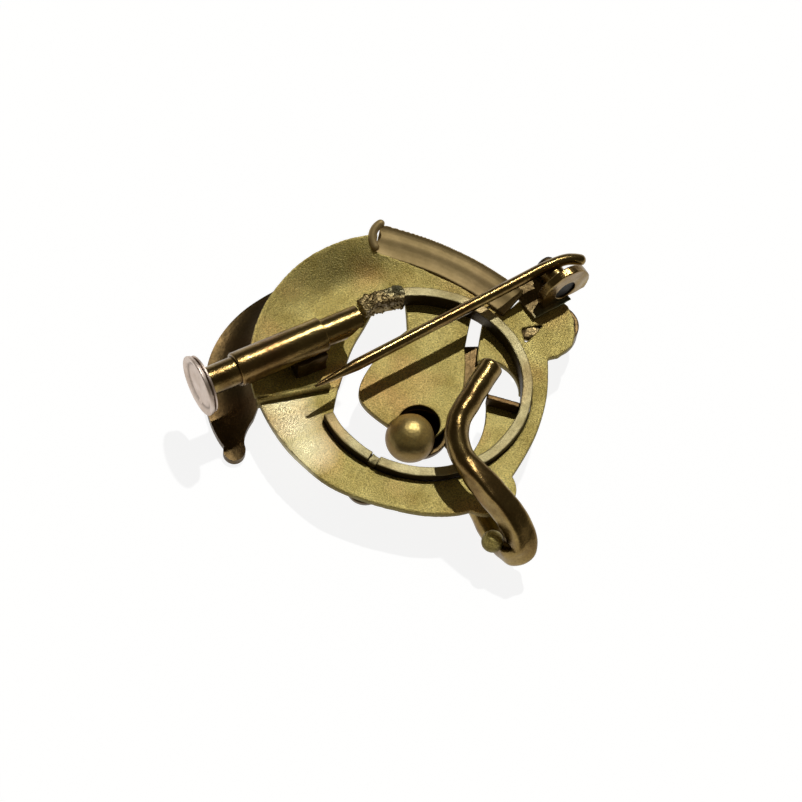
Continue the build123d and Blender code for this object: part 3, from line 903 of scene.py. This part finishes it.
@dataclass
class StampedBody:
    """The hollow body: petals and leaves stamped from sheet, and berries on the front."""

    voxel_mm: float = 0.07
    fine_voxel_mm: float = 0.05
    body_centre: tuple[float, float] = (-1.4, 0.7)
    crest_end_deg: float = 205.0
    step_inner_mm: float = 5.2
    step_outer_mm: float = 10.2
    step_depth_mm: float = 1.0
    step_wall_mm: float = 0.35
    step_above_mm: float = 0.25
    rub_sheen_line: tuple[tuple[float, float], ...] = ((-8.9, -3.1), (-7.9, -4.8), (-6.7, -6.4))
    rub_sheen_height_mm: float = -0.6
    rub_sheen_fade_mm: float = 2.175

    def build(self, bench: Bench) -> None:
        """Make every sheet piece.

        Args:
            bench: Frame and palette.
        """
        # Pieces in the shaded gold take painted shade.
        finishes = {
            "base_band": BLOOMED,
            "crest_petal": BLOOMED,
            "horn_petal": SMOOTH,
            "horn_curl": SMOOTH,
            "side_petal": SHADED_GOLD,
            "center_leaf": BLOOMED,
            "small_upper_petal": BLOOMED,
            "small_lower_leaf": BLOOMED,
            "leaf_rim": SHADED_GOLD,
            "flower_stem": SHADED_GOLD,
            "bud_cup": BURNISHED,
            "berry_center": SHADED_GOLD,
            "berry_right": SHADED_GOLD,
            "berry_lower": SHADED_GOLD,
        }
        voxels = {"base_band": self.voxel_mm, "crest_petal": self.voxel_mm, "side_petal": 0.0}
        for place, (node, finish) in enumerate(finishes.items()):
            voxel = voxels.get(node, self.fine_voxel_mm)
            piece = bench.worked(node, voxel, passes=8, seed=3.1 * place)
            if node == "base_band":
                self.rub_and_sheen(bench, piece)
            if node in self.folds:
                self.folds[node].bend(bench, piece)
            if node == "crest_petal":
                self.close_step(bench, piece)
            bench.deliver(piece, Body.ROOT, finish, node)

    @property
    def folds(self) -> dict[str, Fold]:
        """Folds of the sheets.

        Returns:
            The fold that bends each sheet, by node.
        """
        crest = Fold(self.body_centre, 9.1, 2.8, 0.75, 128.0, 24.0)
        return {
            "crest_petal": crest,
            "side_petal": crest,
            "horn_petal": Fold((-5.65, -9.25), 20.35, 1.1, -0.45, 72.0, 60.0, 0.0),
        }

    def close_step(self, bench: Bench, piece: bpy.types.Object) -> None:
        """Join the wall below the crest's lower edge, where it steps down to the band.

        Args:
            bench: Gives the places.
            piece: The crest.
        """
        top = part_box("base_band")[1].z
        turn = math.radians(self.crest_end_deg)
        out = Vector((math.cos(turn), math.sin(turn), 0))
        back = Vector((math.sin(turn), -math.cos(turn), 0))
        centre = bench.spot(*self.body_centre, 0)
        work = bmesh.new()
        bmesh.ops.create_cube(work, size=1.0)
        long = (self.step_outer_mm - self.step_inner_mm) * MM
        frame = Matrix((out, back, Vector((0, 0, 1)))).transposed().to_4x4()
        sizes = Matrix.Diagonal((long, self.step_wall_mm * MM, self.step_depth_mm * MM, 1.0))
        middle = centre + out * (self.step_inner_mm * MM + long / 2)
        middle.z = top - self.step_depth_mm * MM / 2 + self.step_above_mm * MM
        place = Matrix.Translation(middle) @ frame @ sizes
        bmesh.ops.transform(work, matrix=place, verts=work.verts)
        work.from_mesh(piece.data)
        bmesh.ops.recalc_face_normals(work, faces=work.faces)
        work.to_mesh(piece.data)
        work.free()
        piece.data.shade_smooth()

    def rub_and_sheen(self, bench: Bench, piece: bpy.types.Object) -> None:
        """Polish the stretch of the band that rubs on cloth, beside the catch, and mark it for a
        painted highlight.

        Args:
            bench: Gives the ring's centre.
            piece: The band.
        """
        line = [bench.spot(x, y, self.rub_sheen_height_mm) for x, y in self.rub_sheen_line]
        marks = piece.data.attributes.new(RUB_SHEEN, "FLOAT", "POINT")
        for vertex, mark in zip(piece.data.vertices, marks.data):
            gap = min((vertex.co - point).length / MM for point in line)
            mark.value = max(0.0, 1 - gap / self.rub_sheen_fade_mm) ** 0.7


@dataclass
class BackRing:
    """The flat ring soldered to the back, with the solder that holds it."""

    voxel_mm: float = 0.05
    grain_mm: float = 0.075
    grains_per_mm2: float = 26.0

    def build(self, bench: Bench) -> None:
        """Make the ring's two pieces and its solder.

        Args:
            bench: Frame and palette.
        """
        for place, node in enumerate(("back_ring", "ring_segment")):
            piece = bench.worked(node, self.voxel_mm, 5, 40.0 + place, 1.6, 0.05)
            bench.deliver(piece, Body.ROOT, PALE, node)
        lump = bench.worked("solder_lump", self.voxel_mm, 5, 50.0, 0.6, 0.16)
        grains = grainy(lump, self.grain_mm, self.grains_per_mm2, 7,
                        bench.palette.material(SOLDER))
        bench.deliver(grains, Body.ROOT, SOLDER, "solder_lump")
        bead = bench.worked("solder_bead", self.voxel_mm, 6, 51.0, 0.5, 0.1)
        bench.deliver(bead, Body.ROOT, PALE, "solder_bead")


@dataclass
class TubeCatch:
    """Fixed tube with a smaller tube sliding in it, pulled by a dished knob."""

    edge_mm: float = 0.1
    play_mm: float = 0.04
    bore_mm: float = 1.0
    step_mm: float = 1.09
    lip_mm: float = 0.5
    pocket_mm: float = 5.86
    slider_mm: float = 0.97
    slider_bore_mm: float = 0.72
    plug_mm: float = 2.2
    mouth_back_mm: float = 0.25
    mouth_way: tuple[float, float, float] = (0.5, 0.45, -0.74)

    def build(self, bench: Bench) -> None:
        """Make the tube, its foot, the slider and the knob.

        Args:
            bench: Frame and palette.
        """
        axis = Vector(bench.joint("catch_slide")["axis"]).normalized()
        low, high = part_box("slider_knob")
        centre = (low + high) / 2
        bench.deliver(self.tube(bench, centre, axis), Body.ROOT, POLISHED, "catch_barrel")
        foot = bench.worked("catch_foot", 0.05, 8, 61.0, 0.8, 0.08)
        bench.deliver(foot, Body.ROOT, SHADED_GOLD, "catch_foot")
        bench.deliver(self.slider(bench, centre, axis), Body.SLIDER, POLISHED, "slider_tube")
        bench.deliver(self.knob(bench, centre, axis), Body.SLIDER, ROSE, "slider_knob")

    def tube(self, bench: Bench, centre: Vector, axis: Vector) -> bpy.types.Object:
        """Turn the fixed tube, with the pocket that its slider's collar runs in.

        Args:
            bench: Gives the CAD piece's reach.
            centre: Middle of the knob, where distance zero lies.
            axis: Direction from the knob into the tube.

        Returns:
            The fixed tube.
        """
        start, stop, radius = (value / MM for value in bench.reach("catch_barrel", centre, axis))
        start += self.play_mm
        edge = self.edge_mm
        outline = [
            *corner(start + edge, radius - edge, edge, 90)[::-1],
            *corner(stop - edge, radius - edge, edge, 0)[::-1],
            (stop, self.bore_mm),
            (start + self.pocket_mm, self.bore_mm),
            (start + self.pocket_mm, self.step_mm),
            (start + self.lip_mm, self.step_mm),
            (start + self.lip_mm, self.bore_mm),
            (start, self.bore_mm),
        ]
        return lathe("polished_catch_tube", outline, centre, axis)

    def slider(self, bench: Bench, centre: Vector, axis: Vector) -> bpy.types.Object:
        """Turn the inner tube and cut its mouth to a long slant.

        Args:
            bench: Gives the CAD piece's reach.
            centre: Middle of the knob, where distance zero lies.
            axis: Direction from the knob into the tube.

        Returns:
            The sliding tube.
        """
        start, stop, _ = (value / MM for value in bench.reach("slider_tube", centre, axis))
        outline = [
            (start, 0.0),
            (start, self.slider_mm),
            (stop, self.slider_mm),
            (stop, self.slider_bore_mm),
            (start + self.plug_mm, self.slider_bore_mm),
            (start + self.plug_mm, 0.0),
        ]
        piece = lathe("sliding_catch_tube", outline, centre, axis)
        side = axis.cross(Vector((0, 0, 1))).normalized()
        ahead, beside, up = self.mouth_way
        away = (axis * ahead + side * beside + Vector((0, 0, up))).normalized()
        cut_away(piece, centre + axis * (stop - self.mouth_back_mm) * MM, away)
        shade_smooth(piece)
        return piece

    def knob(self, bench: Bench, centre: Vector, axis: Vector) -> bpy.types.Object:
        """Turn the knob: a dished face, a rounded rim and a groove behind it.

        Args:
            bench: Gives the CAD piece's reach.
            centre: Middle of the knob, where distance zero lies.
            axis: Direction from the knob into the tube.

        Returns:
            The knob.
        """
        start, stop, radius = (value / MM for value in bench.reach("slider_knob", centre, axis))
        outline = [
            (start + 0.2, 0.0),
            (start + 0.2, radius - 0.5),
            (start + 0.05, radius - 0.28),
            (start, radius - 0.16),
            *corner(start + 0.1, radius - 0.1, 0.1, 90, 4)[::-1],
            (start + 0.26, radius - 0.04),
            (start + 0.32, radius - 0.3),
            (start + 0.4, radius - 0.3),
            (start + 0.44, radius - 0.12),
            (start + 0.54, radius - 0.12),
            (stop, radius - 0.25),
            (stop, 0.0),
        ]
        return lathe("dished_knob", outline, centre, axis)


@dataclass
class Hinge:
    """Two ears on a plate, with the rivet that the pin turns on."""

    fill_at_mm: tuple[float, float, float] = (6.75, 5.75, -1.0)
    fill_mm: tuple[float, float, float] = (1.0, 0.62, 0.28)
    fill_turn_deg: float = 30.0
    fill_lump_mm: float = 0.12

    def build(self, bench: Bench) -> None:
        """Make the ears, the plate and the rivet.

        Args:
            bench: Frame and palette.
        """
        # The far ear takes the shaded gold as painted shade; the plate's dark solder colour is
        # partly its own and partly painted shade.
        finishes = {"hinge_plate": SOLDER, "near_ear": POLISHED, "far_ear": SHADED_GOLD}
        for place, (node, finish) in enumerate(finishes.items()):
            piece = bench.worked(node, 0.045, 7, 70.0 + place, 0.9, 0.05)
            if node == "hinge_plate":
                self.fill(bench, piece)
            bench.deliver(piece, Body.ROOT, finish, node)
        bench.keep("hinge_rivet", STEEL)

    def fill(self, bench: Bench, piece: bpy.types.Object) -> None:
        """Join the solder that ran from the plate into the slit beside the ring.

        Args:
            bench: Gives the ring's centre.
            piece: The hinge plate.
        """
        work = bmesh.new()
        bmesh.ops.create_icosphere(work, subdivisions=5, radius=1.0)
        sizes = Matrix.Diagonal((*(size * MM for size in self.fill_mm), 1.0))
        turn = Matrix.Rotation(math.radians(self.fill_turn_deg), 4, "Z")
        place = Matrix.Translation(bench.spot(*self.fill_at_mm)) @ turn @ sizes
        bmesh.ops.transform(work, matrix=place, verts=work.verts)
        for vertex in work.verts:
            vertex.co += noise.noise_vector(vertex.co / (0.5 * MM)) * self.fill_lump_mm * MM
        work.from_mesh(piece.data)
        work.to_mesh(piece.data)
        work.free()
        piece.data.shade_smooth()


@dataclass
class Pin:
    """The pin: a wire drawn to a point, bent over behind its bush."""

    radius_mm: float = 0.4
    point_mm: float = 0.1
    point_length_mm: float = 3.2
    straight_spans: int = 8
    tail_mm: tuple[tuple[float, float, float], ...] = (
        (1.6, 0.12, 0.06), (2.4, 0.36, 0.2), (3.15, 0.72, 0.5))

    def build(self, bench: Bench) -> None:
        """Make the wire and dress its bush.

        Args:
            bench: Frame and palette.
        """
        wall = bench.mount("pin_wire")
        middle = Vector(wall["pos_m"])
        toward = Vector(wall["axis"]).normalized()
        half = wall["dims"]["length_mm"] / 2
        side = toward.cross(Vector((0, 0, 1))) * -1
        start = middle + toward * (half + self.point_length_mm) * MM
        bend = middle - toward * half * MM
        spans = self.straight_spans
        knots = [start, *(start.lerp(bend, step / spans) for step in range(1, spans)), bend]
        knots += [bend - toward * past * MM + side * aside * MM - Vector((0, 0, down * MM))
                  for past, aside, down in self.tail_mm]
        path = smooth_path(knots, 6)
        tree = wire_tree()
        piece = wire("pin_wire_drawn", path, tree, {
            "Radius": self.radius_mm, "Tip Radius": self.point_mm,
            "Tip Length": self.point_length_mm, "End Rounding": self.radius_mm},
            bench.palette.material(POLISHED))
        bench.deliver(piece, Body.PIN, POLISHED, "pin_stem")
        bench.keep("pin_knuckle", POLISHED)


@dataclass
class WatchHook:
    """The wire that curls round behind the back to hold a watch."""

    wire_mm: float = 0.8
    forged_mm: float = 0.84
    forged_power: float = 5.0
    dent_mm: float = 0.05
    dent_width_mm: float = 0.9
    sides: int = 64
    square_from: tuple[float, float] = (0.36, 0.5)
    square_until: tuple[float, float] = (0.68, 0.8)
    knots_mm: tuple[tuple[float, float, float], ...] = (
        (4.3, 0.42, 2.75), (3.5, -1.6, 2.6), (2.65, -4.3, 2.4), (3.2, -6.3, 2.0),
        (5.05, -7.99, 1.5), (7.0, -9.35, 0.6), (8.15, -10.5, -0.8), (7.58, -10.63, -1.9),
        (6.29, -9.08, -2.9), (4.69, -6.88, -2.7))

    def build(self, bench: Bench) -> None:
        """Make the hook, its bead and its post.

        Args:
            bench: Frame and palette.
        """
        knots = [bench.spot(*knot) for knot in self.knots_mm]
        piece = self.forged(smooth_path(knots, 14))
        bench.deliver(piece, Body.ROOT, POLISHED, "watch_hook")
        bead = bench.worked("hook_bead", 0.05, 4, 81.0, 0.9, 0.03)
        bench.deliver(bead, Body.ROOT, BLOOMED, "hook_bead")
        bench.keep("hook_post", SHADED_GOLD)

    def forged(self, path: list[Vector]) -> bpy.types.Object:
        """Sweep the wire: round at its free end, hammered square where it leaves the body.

        Args:
            path: Points along the wire.

        Returns:
            The hook as one closed mesh.
        """
        ridge = Vector((-0.25, -0.5, 0.83)).normalized()
        lengths = [0.0]
        for first, second in zip(path, path[1:]):
            lengths.append(lengths[-1] + (second - first).length / MM)
        total = lengths[-1]
        sides = self.sides
        work = bmesh.new()
        rings = []
        for place, (centre, far) in enumerate(zip(path, lengths)):
            before = path[max(0, place - 1)]
            after = path[min(len(path) - 1, place + 1)]
            along = (after - before).normalized()
            first = (ridge - along * ridge.dot(along)).normalized()
            second = along.cross(first)
            share = far / total
            square = smooth_step(*self.square_from, share)
            square *= 1 - smooth_step(*self.square_until, share)
            power = 2 + (self.forged_power - 2) * square
            size = self.wire_mm + (self.forged_mm - self.wire_mm) * square
            edge = min(1.0, (far + 0.12) / 0.35, (total - far + 0.1) / 0.4)
            ring = []
            for step in range(sides):
                turn = 2 * math.pi * step / sides
                flat = turn + math.pi / 4
                reach = (abs(math.cos(flat)) ** power + abs(math.sin(flat)) ** power)
                reach = size * reach ** (-1 / power) * math.sqrt(edge * (2 - edge))
                spoke = first * math.cos(turn) + second * math.sin(turn)
                spot = centre + spoke * reach * MM
                bump = noise.noise(spot / (self.dent_width_mm * MM)) * self.dent_mm * MM
                ring.append(work.verts.new(spot + spoke * bump))
            rings.append(ring)
        for first_ring, second_ring in zip(rings, rings[1:]):
            for step in range(sides):
                after_step = (step + 1) % sides
                work.faces.new((first_ring[step], first_ring[after_step],
                                second_ring[after_step], second_ring[step]))
        work.faces.new(rings[0])
        work.faces.new(rings[-1])
        bmesh.ops.recalc_face_normals(work, faces=work.faces)
        mesh = bpy.data.meshes.new("forged_watch_hook")
        work.to_mesh(mesh)
        work.free()
        piece = plain_object("forged_watch_hook", mesh)
        shade_smooth(piece, 50)
        return piece


@dataclass
class Studio:
    """Floor, lights and camera.

    The camera looks down on the open back, with the brooch a little turned in the view.
    """

    tilt_deg: float = 30.8
    roll_deg: float = 10.0
    distance_mm: float = 200.0
    lens_mm: float = 134.66
    ring_right_mm: float = 1.533
    ring_up_mm: float = 1.427
    floor_mm: float = 6000.0
    sun_way: tuple[float, float, float] = (0.097, 0.46, 0.885)
    sun_strength: float = 1.4
    sun_angle_deg: float = 1.5
    wall: str = "#b9b4a8"
    ceiling: str = "#4a463c"
    wall_low: float = 0.1
    wall_high: float = 0.35

    def build(self, bench: Bench) -> None:
        """Set up the floor, the lights and the camera.

        Args:
            bench: Frame, for the place of the ring.
        """
        self.add_floor()
        self.add_light()
        self.add_camera(bench.ring_centre)
        bpy.context.scene.view_settings.view_transform = "Standard"

    def add_floor(self) -> None:
        """Lay a wide pale floor just under the brooch."""
        half = self.floor_mm * MM / 2
        mesh = bpy.data.meshes.new("studio_floor")
        corners = [(-half, -half, 0), (half, -half, 0), (half, half, 0), (-half, half, 0)]
        mesh.from_pydata(corners, [], [(0, 1, 2, 3)])
        floor = plain_object("studio_floor", mesh)
        mesh.materials.append(Paper().build())

    def add_light(self) -> None:
        """One soft-edged sun and a dim sky with a pale wall low all round."""
        scene = bpy.context.scene
        lamp = bpy.data.lights.new("key_light", "SUN")
        lamp.energy = self.sun_strength
        lamp.angle = math.radians(self.sun_angle_deg)
        key = bpy.data.objects.new("key_light", lamp)
        key.rotation_euler = Vector(self.sun_way).to_track_quat("Z", "Y").to_euler()
        scene.collection.objects.link(key)
        scene.world = self.sky()

    def sky(self) -> bpy.types.World:
        """A dim room with a pale wall all round its foot, seen as white behind the brooch.

        Returns:
            The world.
        """
        world = bpy.data.worlds.new("studio_sky")
        world.use_nodes = True
        tree = world.node_tree
        tree.nodes.clear()
        way = add_node(tree, "ShaderNodeTexCoord").outputs["Generated"]
        height = add_node(tree, "ShaderNodeSeparateXYZ", {0: way}).outputs["Z"]
        rise = add_node(tree, "ShaderNodeMapRange", {
            "Value": height, "From Min": self.wall_low, "From Max": self.wall_high},
            interpolation_type="SMOOTHSTEP")
        room = add_node(tree, "ShaderNodeMix", {"Factor": rise.outputs["Result"]},
                        data_type="RGBA")
        room.inputs[6].default_value = linear(self.wall)
        room.inputs[7].default_value = linear(self.ceiling)
        rays = add_node(tree, "ShaderNodeLightPath")
        shown = add_node(tree, "ShaderNodeMix", {"Factor": rays.outputs["Is Camera Ray"]},
                         data_type="RGBA")
        tree.links.new(room.outputs[2], shown.inputs[6])
        shown.inputs[7].default_value = (1.0, 1.0, 1.0, 1.0)
        back = add_node(tree, "ShaderNodeBackground", {"Color": shown.outputs[2]})
        add_node(tree, "ShaderNodeOutputWorld", {"Surface": back.outputs[0]})
        return world

    def add_camera(self, ring: Vector) -> None:
        """Aim the camera from the ring's centre.

        Args:
            ring: Centre of the ring's upper face.
        """
        tilt = math.radians(self.tilt_deg)
        roll = math.radians(self.roll_deg)
        back = Vector((0, -math.sin(tilt), math.cos(tilt)))
        away = Vector((0, math.cos(tilt), math.sin(tilt)))
        across = Vector((1, 0, 0))
        right = across * math.cos(roll) + away * math.sin(roll)
        up = away * math.cos(roll) - across * math.sin(roll)
        target = ring - (right * self.ring_right_mm + up * self.ring_up_mm) * MM
        data = bpy.data.cameras.new("camera")
        data.lens = self.lens_mm
        data.sensor_width = 36.0
        data.clip_start = 0.01
        data.clip_end = 20.0
        camera = bpy.data.objects.new("camera", data)
        turn = Matrix((right, up, back)).transposed().to_4x4()
        camera.matrix_world = Matrix.Translation(target + back * self.distance_mm * MM) @ turn
        bpy.context.scene.collection.objects.link(camera)
        bpy.context.scene.camera = camera


def main() -> None:
    """Build the brooch and its studio around the frame."""
    logging.basicConfig(level=logging.INFO, format="%(name)s: %(message)s")
    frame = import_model()
    bench = Bench(frame, Palette())
    for part in (StampedBody(), BackRing(), TubeCatch(), Hinge(), Pin(), WatchHook(), Studio()):
        part.build(bench)


if __name__ == "__main__":
    main()
